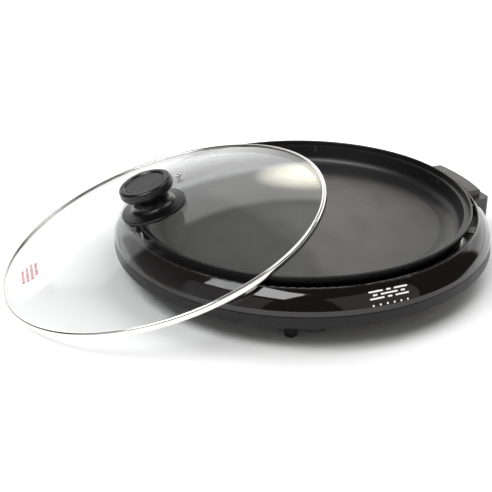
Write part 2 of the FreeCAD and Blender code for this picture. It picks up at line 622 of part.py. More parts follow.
def socket_shroud():
    wall = SOCKET_WALL
    outer = block(SOCKET_ROOT_X, SOCKET_OUT_X, -SOCKET_HALF_Y, SOCKET_HALF_Y, SOCKET_BOTTOM_Z, SOCKET_TOP_Z)
    outer = softened(outer, SOCKET_CORNER_R,
                     lambda e: e.CenterOfMass.x > SOCKET_OUT_X - 0.1 and abs(e.tangentAt(e.FirstParameter).z) > 0.9)
    hollow = block(SOCKET_ROOT_X - 10, SOCKET_OUT_X - wall, -SOCKET_HALF_Y + wall, SOCKET_HALF_Y - wall,
                   SOCKET_BOTTOM_Z + wall, SOCKET_TOP_Z - wall)
    throat = block(SOCKET_ROOT_X, SOCKET_OUT_X - wall, -MOUTH_HALF_Y - wall, MOUTH_HALF_Y + wall,
                   SOCKET_BOTTOM_Z, MOUTH_HIGH_Z + wall)
    mouth = block(SOCKET_ROOT_X - 10, SOCKET_OUT_X + 10, -MOUTH_HALF_Y, MOUTH_HALF_Y, MOUTH_LOW_Z, MOUTH_HIGH_Z)
    shape = outer.cut(hollow).fuse(throat)
    for x, y in socket_screw_places():
        shape = shape.fuse(upright(UPPER_BOSS_R + 0.9, SOCKET_BOTTOM_Z, SOCKET_TOP_Z, x, y))
    shape = shape.cut(mouth).cut(upright(CREST_R + SNUG, 0, 100))
    for x, y in socket_screw_places():
        shape = shape.cut(upright(SCREW_R + SNUG, SOCKET_BOTTOM_Z - 1, SOCKET_TOP_Z + 1, x, y))
    return shape.removeSplitter()


def cover_sector(inset, low, high):
    """Block between the crest and the cover's outer arc, all sides moved in by inset."""
    half = COVER_HALF_Y - inset
    zone = block(SOCKET_ROOT_X, COVER_OUT_R + 10, -half, half, low, high)
    ring = upright(COVER_OUT_R - inset, low, high).cut(upright(CREST_R + SNUG + inset, low, high))
    return zone.common(ring)


def socket_cover():
    shape = cover_sector(0, SOCKET_TOP_Z, COVER_TOP_Z)
    shape = softened(shape, 0.9, lambda e: e.BoundBox.ZMin > COVER_TOP_Z - 0.1)
    shape = shape.cut(cover_sector(SHELL_T, SOCKET_TOP_Z - 1, COVER_TOP_Z - SHELL_T))
    for x, y in socket_screw_places():
        shape = shape.fuse(upright(UPPER_BOSS_R + 0.9, SOCKET_TOP_Z, COVER_TOP_Z - 1, x, y))
        shape = shape.cut(upright(SCREW_R + SNUG, SOCKET_TOP_Z - 1, COVER_TOP_Z - SHELL_T, x, y))
    return shape.removeSplitter()


def socket_screws():
    return [upward_screw(x, y, SOCKET_BOTTOM_Z - SCREW_HEAD_H, COVER_TOP_Z - SHELL_T - 0.5)
            for x, y in socket_screw_places()]


# ---------------------------------------------------------------- lid, in its own frame
def dome_ball(inset):
    return Part.makeSphere(GLASS_OUT_R - inset, Vector(0, 0, GLASS_CENTRE))


def eyelet_place():
    return polar(EYELET_RHO, EYELET_TURN)


def glass_blank():
    shell = dome_ball(0).cut(dome_ball(GLASS_T))
    return shell.common(upright(GLASS_EDGE_R, -RIM_HEIGHT * 2, LID_APEX + 1))


def lid_glass():
    shape = glass_blank().cut(upright(GLASS_HOLE_R, 0, LID_APEX + 1))
    x, y = eyelet_place()
    return shape.cut(upright(EYELET_BORE_R + 0.9, 0, LID_APEX + 1, x, y))


def lid_rim():
    slope = math.asin(GLASS_EDGE_R / GLASS_OUT_R)
    in_r = LID_R - RIM_GRIP
    climb = RIM_GRIP * math.tan(slope)
    round_r = 0.8
    in_z = climb - EDGE_DROP + RIM_SHEET
    shape = turned(
        (LID_R, -RIM_HEIGHT + round_r), (LID_R, -round_r),
        (LID_R - 0.3 * round_r, 0.3), (LID_R - round_r, RIM_BEAD_Z - 0.4), (LID_R - RIM_BEAD_IN, RIM_BEAD_Z),
        (in_r, in_z), (in_r, climb - EDGE_DROP - GLASS_T - 2 * RIM_SHEET),
        (LID_R - round_r, -RIM_HEIGHT), ((LID_R - 0.3 * round_r, -RIM_HEIGHT + 0.3 * round_r),
                                         (LID_R, -RIM_HEIGHT + round_r)))
    return shape.cut(glass_blank()).removeSplitter()


def knob_base():
    top = LID_APEX
    neck_z = top + KNOB_SPLIT
    edge_z = top + KNOB_FLANGE_T - (KNOB_FLANGE_R ** 2) / (2 * GLASS_OUT_R)
    shape = turned(
        (KNOB_HOLE_R, top - 5), (KNOB_FLANGE_R, top - 5), (KNOB_FLANGE_R, edge_z - 1.0),
        ((KNOB_FLANGE_R - 0.3, edge_z - 0.3), (KNOB_FLANGE_R - 1.0, edge_z)),
        (KNOB_NECK_R + 7.0, edge_z + 0.9),
        ((KNOB_NECK_R + 2.3, edge_z + 2.9), (KNOB_NECK_R, neck_z)), (KNOB_HOLE_R, neck_z))
    return shape.cut(dome_ball(0))


def knob_grip():
    low = LID_APEX + KNOB_SPLIT
    high = LID_APEX + KNOB_HEIGHT
    pocket = high - KNOB_CAP_SUNK - KNOB_CAP_T
    shape = turned(
        (0, low), (KNOB_NECK_R - 0.5, low), (KNOB_NECK_R - 0.5, low + 2.0),
        ((KNOB_NECK_R + 1.2, low + 6.0), (KNOB_TOP_R - 3.6, low + 9.6)),
        ((KNOB_TOP_R - 0.6, low + 11.6), (KNOB_TOP_R, low + 13.6)), (KNOB_TOP_R, high - 3.2),
        ((KNOB_TOP_R - 0.9, high - 0.9), (KNOB_TOP_R - 3.2, high)),
        (KNOB_CAP_R + 1.6, high), (KNOB_CAP_R + SNUG, high - KNOB_CAP_SUNK),
        (KNOB_CAP_R + SNUG, pocket), (0, pocket))
    return shape.cut(upright(2.0 + SNUG, low - 1, low + 13))


def knob_cap():
    high = LID_APEX + KNOB_HEIGHT - KNOB_CAP_SUNK
    low = high - KNOB_CAP_T
    return turned((0, low), (KNOB_CAP_R, low), (KNOB_CAP_R, high - 0.5),
                  ((KNOB_CAP_R - 0.15, high - 0.15), (KNOB_CAP_R - 0.5, high)), (0, high))


def knob_gasket():
    low = LID_APEX - GLASS_T - 1.5
    disc = upright(WASHER_R + 2, low, LID_APEX).common(dome_ball(GLASS_T))
    return disc.cut(upright(KNOB_HOLE_R, low - 1, LID_APEX))


def knob_washer():
    high = LID_APEX - GLASS_T - 1.5
    return upright(WASHER_R, high - 1.2, high).cut(upright(KNOB_HOLE_R, high - 2, high + 1))


def knob_screw():
    seat = LID_APEX - GLASS_T - 1.5 - 1.2
    head = turned((0, seat - 2.6), (2.2, seat - 2.6), ((4.2, seat - 2.0), (5.0, seat - 0.4)), (5.0, seat), (0, seat))
    shank = upright(2.0, seat, LID_APEX + KNOB_SPLIT + 12)
    return head.fuse(shank).removeSplitter().cut(block(-5, 5, -0.5, 0.5, seat - 3, seat - 1.6))


def steam_eyelet():
    """Rolled metal eyelet through the glass: a tube with a collar above and one below."""
    x, y = eyelet_place()
    top = GLASS_CENTRE + math.sqrt(GLASS_OUT_R ** 2 - EYELET_RHO ** 2)
    tube = upright(EYELET_BORE_R + 0.8, top - GLASS_T - 1.4, top + 1.0, x, y)
    upper = upright(EYELET_R, top - 1, top + 1.0, x, y).cut(dome_ball(0))
    upper = softened(upper, 0.35, lambda e: e.BoundBox.ZMin > top + 0.9)
    lower = upright(EYELET_R, top - GLASS_T - 1.4, top, x, y).common(dome_ball(GLASS_T))
    shape = tube.fuse(upper).fuse(lower)
    return shape.cut(upright(EYELET_BORE_R, top - 10, top + 5, x, y)).removeSplitter()


# ---------------------------------------------------------------- how the lid leans
def lid_point(rho, drop, turn, tilt, height):
    """A point of the leaning lid, as distance from the pan's axis and height: rho and drop are in the lid's frame."""
    u = rho * math.cos(turn)
    v = rho * math.sin(turn)
    along = LID_OFFSET + u * math.cos(tilt) + drop * math.sin(tilt)
    return math.hypot(along, v), height - u * math.sin(tilt) + drop * math.cos(tilt)


def lid_height(tilt):
    """Height of the rim's centre that leaves GAP between the rim's lowest point and the floor."""
    low = min(lid_point(LID_R, -RIM_HEIGHT + 0.8, 0, tilt, 0)[1],
              lid_point(LID_R - 0.8, -RIM_HEIGHT, 0, tilt, 0)[1])
    return GAP - low


def lip_gap(tilt):
    """Least height of the rim's underside over the pan's lip."""
    height = lid_height(tilt)
    gap = LID_R
    for step in range(0, 181 * 4):
        turn = math.radians(step / 4)
        for rho, drop in ((LID_R, -RIM_HEIGHT + 0.8), (LID_R - 0.8, -RIM_HEIGHT), (LID_R - RIM_GRIP, -RIM_HEIGHT + 1)):
            away, level = lid_point(rho, drop, turn, tilt, height)
            if PAN_LIP_R - PAN_LIP_WALL <= away <= PAN_LIP_R:
                gap = min(gap, level - PAN_TOP_Z)
    return gap


def dome_gap(tilt):
    """Least distance from the pan's lip to the glass above it."""
    height = lid_height(tilt)
    gap = LID_R
    for step in range(0, 181):
        x, y = polar(PAN_LIP_R - PAN_LIP_WALL / 2, step)
        along = x - LID_OFFSET
        rise = PAN_TOP_Z - height
        u = along * math.cos(tilt) - rise * math.sin(tilt)
        drop = along * math.sin(tilt) + rise * math.cos(tilt)
        rho = math.hypot(u, y)
        if rho < LID_R - RIM_GRIP:
            gap = min(gap, GLASS_OUT_R - GLASS_T - math.hypot(rho, drop - GLASS_CENTRE))
    return gap


def lean_angle():
    """Tilt at which the rim and the glass also clear the pan's lip by GAP."""
    low = math.radians(1)
    high = math.radians(45)
    for _ in range(40):
        middle = (low + high) / 2
        if min(lip_gap(middle), dome_gap(middle)) < GAP:
            low = middle
        else:
            high = middle
    return high


def leaning(shapes):
    tilt = lean_angle()
    placed = []
    x, y = polar(LID_OFFSET, LID_TURN)
    for shape in shapes:
        copy = shape.copy()
        copy.rotate(Vector(0, 0, 0), Vector(0, 1, 0), math.degrees(tilt))
        copy.rotate(Vector(0, 0, 0), Vector(0, 0, 1), LID_TURN)
        copy.translate(Vector(x, y, lid_height(tilt)))
        placed.append(copy)
    return placed


# ---------------------------------------------------------------- writing the nodes
def solids_of(shapes):
    return [solid for shape in shapes for solid in shape.Solids]


def write(name, shapes):
    shapes = shapes if isinstance(shapes, list) else [shapes]
    solids = solids_of(shapes)
    whole = solids[0] if len(solids) == 1 else Part.makeCompound(solids)
    whole.exportStep(os.path.join("parts", name + ".step"))
    box = whole.BoundBox
    print("%-20s %2d solid  valid %s  %9.1f mm3  x %.1f %.1f  y %.1f %.1f  z %.1f %.1f" % (
        name, len(solids), whole.isValid(), whole.Volume, box.XMin, box.XMax, box.YMin, box.YMax,
        box.ZMin, box.ZMax))


STANDING = {
    "upper_housing": upper_housing, "lower_housing": lower_housing, "rubber_feet": rubber_feet,
    "foot_screws": foot_screws, "housing_screws": housing_screws, "pan_supports": pan_supports,
    "heat_reflector": heat_reflector, "reflector_screws": reflector_screws,
    "socket_shroud": socket_shroud, "socket_cover": socket_cover, "socket_screws": socket_screws,
    "griddle_pan": griddle_pan, "heating_element": heating_element, "element_clamps": element_clamps,
    "clamp_screws": clamp_screws, "terminal_bracket": terminal_bracket,
    "terminal_bushings": terminal_bushings, "terminal_pins": terminal_pins, "probe_tube": probe_tube,
}
LEANING = {
    "lid_glass": lid_glass, "lid_rim": lid_rim, "steam_eyelet": steam_eyelet, "knob_base": knob_base,
    "knob_grip": knob_grip, "knob_cap": knob_cap, "knob_gasket": knob_gasket,
    "knob_washer": knob_washer, "knob_screw": knob_screw,
}

os.makedirs("parts", exist_ok=True)
for node, maker in STANDING.items():
    write(node, maker())
for node, maker in LEANING.items():
    write(node, leaning([maker()]))
print("lid tilt %.3f deg, rim centre z %.2f" % (math.degrees(lean_angle()), lid_height(lean_angle())))
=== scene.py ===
import logging
import math
from dataclasses import dataclass, field
from enum import Enum
from typing import Iterable, Optional, Sequence

import bpy
from mathutils import Matrix, Vector
from mathutils.bvhtree import BVHTree


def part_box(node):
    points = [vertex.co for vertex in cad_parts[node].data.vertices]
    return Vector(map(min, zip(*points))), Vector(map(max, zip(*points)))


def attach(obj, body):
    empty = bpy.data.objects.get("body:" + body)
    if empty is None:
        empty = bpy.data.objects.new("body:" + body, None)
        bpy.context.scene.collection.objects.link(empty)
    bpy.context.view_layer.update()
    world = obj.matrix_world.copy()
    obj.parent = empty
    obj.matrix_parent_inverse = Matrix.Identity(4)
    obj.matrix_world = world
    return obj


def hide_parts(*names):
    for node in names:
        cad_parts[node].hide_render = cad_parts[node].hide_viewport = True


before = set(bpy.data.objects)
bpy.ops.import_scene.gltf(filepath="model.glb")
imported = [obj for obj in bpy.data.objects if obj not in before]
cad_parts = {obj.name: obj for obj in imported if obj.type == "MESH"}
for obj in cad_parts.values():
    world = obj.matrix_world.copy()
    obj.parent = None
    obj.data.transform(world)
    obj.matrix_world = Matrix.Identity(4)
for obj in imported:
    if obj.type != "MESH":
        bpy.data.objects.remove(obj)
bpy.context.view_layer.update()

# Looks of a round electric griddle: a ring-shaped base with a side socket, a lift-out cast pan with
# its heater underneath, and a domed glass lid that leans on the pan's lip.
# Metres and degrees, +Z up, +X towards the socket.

LOG = logging.getLogger("griddle")

Colour = tuple[float, float, float]
Point2 = tuple[float, float]
Socket = bpy.types.NodeSocket

QUARTER_TURN = 90.0
WHITE = (1.0, 1.0, 1.0, 1.0)

# Cloudy colour and wear: one noise, whose middle range is spread over the whole change.
CLOUD_DETAIL = 5.0
CLOUD_ROUGHNESS = 0.6
CLOUD_RANGE = (0.3, 0.7)

# Cast relief: how far pebbles run into each other, and the slower drift beneath them, whose
# pitch is a share of theirs.
PEBBLE_BLEND = 0.6
DRIFT_PITCH = 0.4
DRIFT_DETAIL = 2.0

# Rolled relief: its pitch along the lay, as a share of the pitch across it.
LAY_PITCH = 0.04
LAY_DETAIL = 3.0

# Moulded relief: soft ripples in a gloss skin, fine sparks in a satin one.
RIPPLE_DETAIL = 1.0
SPARK_DETAIL = 4.0

# Watts for each square metre of a softbox at a radiance of one.
POWER_PER_RADIANCE = 4.0


# ------------------------------------------------------------------ materials
class NodeDesk:
    """Adds and joins the nodes of one node tree."""

    def __init__(self, tree: bpy.types.NodeTree) -> None:
        """Starts from an empty tree.

        Args:
            tree: The node tree to fill; its nodes are removed first.
        """
        self.tree = tree
        self.tree.nodes.clear()

    def add(self, kind: str, values: Optional[dict] = None, **settings: object) -> bpy.types.Node:
        """Makes a node.

        Args:
            kind: Node type without its ShaderNode prefix.
            values: Input name or index to a plain value or an output socket to link.
            **settings: Attributes to set on the node.

        Returns:
            The new node.
        """
        node = self.tree.nodes.new("ShaderNode" + kind)
        for name, value in settings.items():
            setattr(node, name, value)
        for name, value in (values or {}).items():
            if isinstance(value, Socket):
                self.tree.links.new(value, node.inputs[name])
            else:
                node.inputs[name].default_value = value
        return node

    def maths(self, operation: str, *terms: object) -> Socket:
        """Output of a Math node.

        Args:
            operation: Its operation, such as "MULTIPLY".
            *terms: Plain numbers or output sockets, in order.

        Returns:
            The value socket.
        """
        return self.add("Math", dict(enumerate(terms)), operation=operation).outputs[0]

    def window(self, value: Socket, low: float, high: float, soft: float) -> Socket:
        """A value's window: 1 between two limits and 0 outside, with soft edges.

        Args:
            value: The value to test.
            low: Lower limit.
            high: Upper limit.
            soft: Width of each edge.

        Returns:
            The mask socket.
        """
        rise = self.add("MapRange", {"Value": value, "From Min": low - soft / 2,
                                     "From Max": low + soft / 2}, interpolation_type="SMOOTHSTEP")
        fall = self.add("MapRange", {"Value": value, "From Min": high - soft / 2,
                                     "From Max": high + soft / 2, "To Min": 1.0, "To Max": 0.0},
                        interpolation_type="SMOOTHSTEP")
        return self.maths("MULTIPLY", rise.outputs[0], fall.outputs[0])


class Grain(Enum):
    """Fine relief that a surface is made with."""

    PLAIN = "plain"
    SPARKED = "sparked"
    PEBBLED = "pebbled"
    ROLLED = "rolled"
    RIPPLED = "rippled"


@dataclass(frozen=True)
class Finish:
    """One surface finish, with its colour, gloss and relief."""

    slot: str
    colour: Colour
    roughness: float
    metallic: float = 0.0
    specular: float = 0.5
    mottle: float = 0.12
    mottle_size: float = 0.02
    wear: float = 0.06
    grain: Grain = Grain.SPARKED
    grain_size: float = 0.0006
    grain_height: float = 0.00002

    def relief(self, desk: NodeDesk, place: Socket) -> Optional[Socket]:
        """Height of the finish's grain.

        Args:
            desk: The material's nodes.
            place: Object coordinates.

        Returns:
            The height socket, or None for a plain surface.
        """
        if self.grain is Grain.PLAIN:
            return None
        pitch = 1.0 / self.grain_size
        if self.grain is Grain.PEBBLED:
            cells = desk.add("TexVoronoi", {"Vector": place, "Scale": pitch,
                                            "Smoothness": PEBBLE_BLEND}, feature="SMOOTH_F1")
            drift = desk.add("TexNoise", {"Vector": place, "Scale": pitch * DRIFT_PITCH,
                                          "Detail": DRIFT_DETAIL})
            domes = desk.maths("MULTIPLY", cells.outputs["Distance"], -1.0)
            return desk.maths("ADD", domes, drift.outputs[0])
        if self.grain is Grain.ROLLED:
            lay = desk.add("Mapping", {"Vector": place,
                                       "Scale": (pitch, pitch * LAY_PITCH, pitch)})
            return desk.add("TexNoise", {"Vector": lay.outputs[0], "Scale": 1.0,
                                         "Detail": LAY_DETAIL}).outputs[0]
        detail = RIPPLE_DETAIL if self.grain is Grain.RIPPLED else SPARK_DETAIL
        return desk.add("TexNoise", {"Vector": place, "Scale": pitch,
                                     "Detail": detail}).outputs[0]

    def material(self) -> bpy.types.Material:
        """The finish's material, made once and shared.

        Returns:
            The material.
        """
        name = "finish_" + self.slot
        if name in bpy.data.materials:
            return bpy.data.materials[name]
        made = bpy.data.materials.new(name)
        made.use_nodes = True
        self.fill(NodeDesk(made.node_tree))
        return made

    def fill(self, desk: NodeDesk) -> None:
        """Lays out the shader.

        Args:
            desk: The material's empty node tree.
        """
        place = desk.add("TexCoord").outputs["Object"]
        cloud = desk.add("TexNoise", {"Vector": place, "Scale": 1.0 / self.mottle_size,
                                      "Detail": CLOUD_DETAIL,
                                      "Roughness": CLOUD_ROUGHNESS}).outputs[0]
        dark = tuple(c * (1.0 - self.mottle) for c in self.colour)
        light = tuple(min(1.0, c * (1.0 + self.mottle)) for c in self.colour)
        tone = desk.add("Mix", {0: cloud, 6: (*dark, 1.0), 7: (*light, 1.0)}, data_type="RGBA")
        rub = desk.add("MapRange", {"Value": cloud, "From Min": CLOUD_RANGE[0],
                                    "From Max": CLOUD_RANGE[1],
                                    "To Min": self.roughness - self.wear,
                                    "To Max": self.roughness + self.wear}).outputs[0]
        shader = desk.add("BsdfPrincipled", {"Base Color": tone.outputs[2], "Roughness": rub,
                                             "Metallic": self.metallic,
                                             "Specular IOR Level": self.specular})
        height = self.relief(desk, place)
        if height is not None:
            bump = desk.add("Bump", {"Height": height, "Distance": self.grain_height,
                                     "Strength": 1.0})
            desk.tree.links.new(bump.outputs[0], shader.inputs["Normal"])
        desk.add("OutputMaterial", {"Surface": shader.outputs[0]})


@dataclass(frozen=True)
class ClearGlass(Finish):
    """Clear pane: each of its two skins mirrors a little and lets the rest straight through."""

    ior: float = 1.5

    def fill(self, desk: NodeDesk) -> None:
        """Lays out the shader, where the finish's colour is what the pane lets through.

        Args:
            desk: The material's empty node tree.
        """
        side = desk.add("NewGeometry").outputs["Backfacing"]
        ior = desk.add("MapRange", {"Value": side, "To Min": self.ior,
                                    "To Max": 1.0 / self.ior}).outputs[0]
        mirror = desk.add("Fresnel", {"IOR": ior}).outputs[0]
        through = desk.add("BsdfTransparent", {"Color": (*self.colour, 1.0)})
        gloss = desk.add("BsdfAnisotropic", {"Color": WHITE, "Roughness": self.roughness})
        pane = desk.add("MixShader", {0: mirror, 1: through.outputs[0], 2: gloss.outputs[0]})
        desk.add("OutputMaterial", {"Surface": pane.outputs[0]})


GLOSS_SHELL = Finish("gloss_shell", (0.0065, 0.0045, 0.0042), 0.05, mottle=0.1, wear=0.02,
                     grain=Grain.RIPPLED, grain_size=0.006, grain_height=0.000004)
SATIN_SHELL = Finish("satin_shell", (0.0062, 0.0050, 0.0056), 0.42, specular=0.30,
                     grain_size=0.0005)
SOCKET_PLASTIC = Finish("socket_plastic", (0.026, 0.023, 0.0225), 0.40, specular=0.6,
                        grain_size=0.0005)
FOOT_RUBBER = Finish("foot_rubber", (0.012, 0.012, 0.013), 0.75, grain_size=0.0008,
                     grain_height=0.00004)
ZINC_SCREW = Finish("zinc_screw", (0.55, 0.55, 0.53), 0.32, metallic=1.0, mottle_size=0.003)
BRACKET_STEEL = Finish("bracket_steel", (0.10, 0.10, 0.10), 0.46, metallic=1.0,
                       grain=Grain.ROLLED)
REFLECTOR_SHEET = Finish("reflector_sheet", (0.72, 0.72, 0.71), 0.22, metallic=1.0,
                         grain=Grain.ROLLED, grain_height=0.000005)
NONSTICK_CAST = Finish("nonstick_cast", (0.0055, 0.0055, 0.0060), 0.42, specular=0.58,
                       mottle=0.15, mottle_size=0.03, wear=0.03, grain=Grain.PEBBLED,
                       grain_size=0.0016, grain_height=0.00005)
HEATER_SHEATH = Finish("heater_sheath", (0.18, 0.17, 0.16), 0.5, metallic=1.0, mottle=0.35,
                       wear=0.12)
WHITE_CERAMIC = Finish("white_ceramic", (0.85, 0.83, 0.78), 0.55)
PLATED_PIN = Finish("plated_pin", (0.75, 0.74, 0.70), 0.16, metallic=1.0, mottle_size=0.004,
                    wear=0.04)
LID_GLASS = ClearGlass("lid_glass", (0.955, 0.962, 0.960), 0.012)
RIM_STAINLESS = Finish("rim_stainless", (0.80, 0.79, 0.76), 0.09, metallic=1.0, mottle=0.04,
                       wear=0.03, grain=Grain.PLAIN)
KNOB_PHENOLIC = Finish("knob_phenolic", (0.0035, 0.0035, 0.0036), 0.28, specular=0.35,
                       grain_size=0.0007)
KNOB_CAP_PLASTIC = Finish("knob_cap_plastic", (0.0030, 0.0030, 0.0031), 0.30, specular=0.25,
                          grain_height=0.00003)
GASKET_SILICONE = Finish("gasket_silicone", (0.35, 0.35, 0.34), 0.6)
FRONT_PRINT = Finish("front_print", (0.80, 0.80, 0.78), 0.45, mottle=0.04)
LID_PRINT = Finish("lid_print", (0.36, 0.003, 0.008), 0.5, mottle=0.15, mottle_size=0.002)


def link_mesh(name: str, verts: Sequence[tuple[float, ...]], faces: Sequence[tuple[int, ...]],
              material: bpy.types.Material) -> bpy.types.Object:
    """Makes a mesh object and links it into the scene.

    Args:
        name: The object's name.
        verts: Places of its vertices.
        faces: Vertex numbers of its faces.
        material: Its only material.

    Returns:
        The new object.
    """
    mesh = bpy.data.meshes.new(name)
    mesh.from_pydata(verts, [], faces)
    mesh.materials.append(material)
    made = bpy.data.objects.new(name, mesh)
    bpy.context.scene.collection.objects.link(made)
    return made


# ------------------------------------------------------------------ printed marks
class Stroke(Enum):
    """Plain shapes that a printed row is made of."""

    BAR = "bar"
    DOT = "dot"


@dataclass
class PrintedRow:
    """One row of plain shapes, centred on its own middle."""

    widths: tuple[float, ...]
    gap: float
    height: float
    rise: float
    stroke: Stroke = Stroke.BAR
    bar_rounding: float = 0.18
    corner_steps: int = 3

    def outlines(self) -> list[list[Point2]]:
        """Corner-rounded outlines of the row's shapes.

        Returns:
            One closed outline each, as points along and across the row.
        """
        rounding = 0.5 if self.stroke is Stroke.DOT else self.bar_rounding
        left = -(sum(self.widths) + self.gap * (len(self.widths) - 1)) / 2
        shapes = []
        for width in self.widths:
            shapes.append(self.rounded(left + width / 2, width, self.height * rounding))
            left += width + self.gap
        return shapes

    def rounded(self, middle: float, width: float, radius: float) -> list[Point2]:
        """Outline of a rectangle with round corners.

        Args:
            middle: Its middle along the row.
            width: Its width.
            radius: Its corner radius.

        Returns:
            The outline's points.
        """
        radius = min(radius, width / 2, self.height / 2)
        reach_x, reach_y = width / 2 - radius, self.height / 2 - radius
        points = []
        bite = QUARTER_TURN / self.corner_steps
        for corner, (side_x, side_y) in enumerate(((1, 1), (-1, 1), (-1, -1), (1, -1))):
            for step in range(self.corner_steps + 1):
                angle = math.radians(QUARTER_TURN * corner + bite * step)
                points.append((middle + side_x * reach_x + radius * math.cos(angle),
                               self.rise + side_y * reach_y + radius * math.sin(angle)))
        return points


@dataclass
class SurfacePrint:
    """Ink laid on a CAD surface as a thin skin that follows it."""

    name: str
    node: str
    body: str
    finish: Finish
    rows: tuple[PrintedRow, ...]
    centre: Vector
    along: Vector
    across: Vector
    lift: float = 0.00012
    rings: int = 4
    drop_start: float = 0.03
    drop_reach: float = 0.2

    def build(self) -> str:
        """Makes the skin.

        Returns:
            The piece's name.
        """
        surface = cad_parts[self.node].data
        tree = BVHTree.FromPolygons([v.co for v in surface.vertices],
                                    [tuple(p.vertices) for p in surface.polygons])
        inward = self.across.cross(self.along).normalized()
        verts: list[tuple[float, ...]] = []
        faces: list[tuple[int, ...]] = []
        for row in self.rows:
            for outline in row.outlines():
                faces += self.fan(len(verts), len(outline))
                verts += [tuple(self.drop(u, v, tree, inward)) for u, v in self.shrink(outline)]
        piece = link_mesh(self.name, verts, faces, self.finish.material())
        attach(piece, self.body)
        return self.name

    def shrink(self, outline: list[Point2]) -> list[Point2]:
        """Points of one shape, as rings that shrink to its middle.

        Args:
            outline: The shape's outline.

        Returns:
            The rings' points from the outside in, and then the middle.
        """
        count = len(outline)
        middle_u, middle_v = (sum(point[axis] for point in outline) / count for axis in (0, 1))
        points = []
        for ring in range(self.rings):
            share = 1.0 - ring / self.rings
            points += [(middle_u + (u - middle_u) * share, middle_v + (v - middle_v) * share)
                       for u, v in outline]
        return [*points, (middle_u, middle_v)]

    def fan(self, first: int, count: int) -> list[tuple[int, ...]]:
        """Faces of one shape.

        Args:
            first: Number of its first vertex.
            count: How many vertices a ring has.

        Returns:
            The faces, as vertex numbers.
        """
        hub = first + self.rings * count
        faces: list[tuple[int, ...]] = []
        for ring in range(self.rings):
            for i in range(count):
                a = first + ring * count + i
                b = first + ring * count + (i + 1) % count
                faces.append((a, b, hub) if ring == self.rings - 1 else
                             (a, b, b + count, a + count))
        return faces

    def drop(self, u: float, v: float, tree: BVHTree, inward: Vector) -> Vector:
        """Drops a point of the print onto the surface.

        Args:
            u: Place along the row.
            v: Place across the row.
            tree: The surface.
            inward: Direction of the drop.

        Returns:
            The point, lifted just off the surface.
        """
        flat = self.centre + self.along * u + self.across * v
        hit, normal, _, _ = tree.ray_cast(flat - inward * self.drop_start, inward,
                                          self.drop_reach)
        if hit is None:
            return flat
        return hit + (normal if normal.dot(inward) < 0 else -normal) * self.lift


# ------------------------------------------------------------------ the griddle
@dataclass
class SubAssembly:
    """CAD nodes that belong together, with what each is made in."""

    finishes: tuple[tuple[str, Finish], ...] = ()

    def dress(self) -> list[str]:
        """Gives each CAD node its finish.

        Returns:
            The names of the nodes.
        """
        for node, finish in self.finishes:
            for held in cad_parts[node].material_slots:
                held.material = finish.material()
        return [node for node, _ in self.finishes]


@dataclass
class BaseHousing(SubAssembly):
    """Ring-shaped base: two shells, feet, supports, reflector and their screws."""

    finishes: tuple[tuple[str, Finish], ...] = (
        ("upper_housing", GLOSS_SHELL), ("lower_housing", SATIN_SHELL),
        ("rubber_feet", FOOT_RUBBER), ("foot_screws", ZINC_SCREW),
        ("housing_screws", ZINC_SCREW), ("pan_supports", BRACKET_STEEL),
        ("heat_reflector", REFLECTOR_SHEET), ("reflector_screws", ZINC_SCREW))
    mark_turn: float = -90.0
    mark_height: float = 0.0505
    mark_lean: float = 30.0
    mark_inset: float = 0.006
    mark_rows: tuple[PrintedRow, ...] = (
        PrintedRow((0.0140, 0.0045, 0.0140), 0.0034, 0.0015, 0.0062),
        PrintedRow((0.0045, 0.0170, 0.0045), 0.0034, 0.0015, 0.0030),
        PrintedRow((0.0140, 0.0045, 0.0140), 0.0034, 0.0015, -0.0002),
        PrintedRow((0.0020,) * 6, 0.0050, 0.0020, -0.0062, Stroke.DOT))

    def build_mark(self) -> str:
        """Makes the plain printed mark on the front of the gloss ring.

        Returns:
            The piece's name.
        """
        turn, lean = math.radians(self.mark_turn), math.radians(self.mark_lean)
        _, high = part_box("upper_housing")
        out = Vector((math.cos(turn), math.sin(turn), 0.0))
        along = Vector((-math.sin(turn), math.cos(turn), 0.0))
        across = Vector((0, 0, 1)) * math.cos(lean) - out * math.sin(lean)
        centre = out * (high.y - self.mark_inset) + Vector((0, 0, self.mark_height))
        return SurfacePrint("front_mark", "upper_housing", "base", FRONT_PRINT, self.mark_rows,
                            centre, along, across).build()


@dataclass
class SideSocket(SubAssembly):
    """Housing that takes the plug-in heat controller."""

    finishes: tuple[tuple[str, Finish], ...] = (
        ("socket_shroud", SOCKET_PLASTIC), ("socket_cover", SOCKET_PLASTIC),
        ("socket_screws", ZINC_SCREW))


@dataclass
class CookingPan(SubAssembly):
    """Cast pan with its heater, clamps and terminals."""

    finishes: tuple[tuple[str, Finish], ...] = (
        ("griddle_pan", NONSTICK_CAST), ("heating_element", HEATER_SHEATH),
        ("element_clamps", BRACKET_STEEL), ("clamp_screws", ZINC_SCREW),
        ("terminal_bracket", BRACKET_STEEL), ("terminal_bushings", WHITE_CERAMIC),
        ("terminal_pins", PLATED_PIN), ("probe_tube", PLATED_PIN))


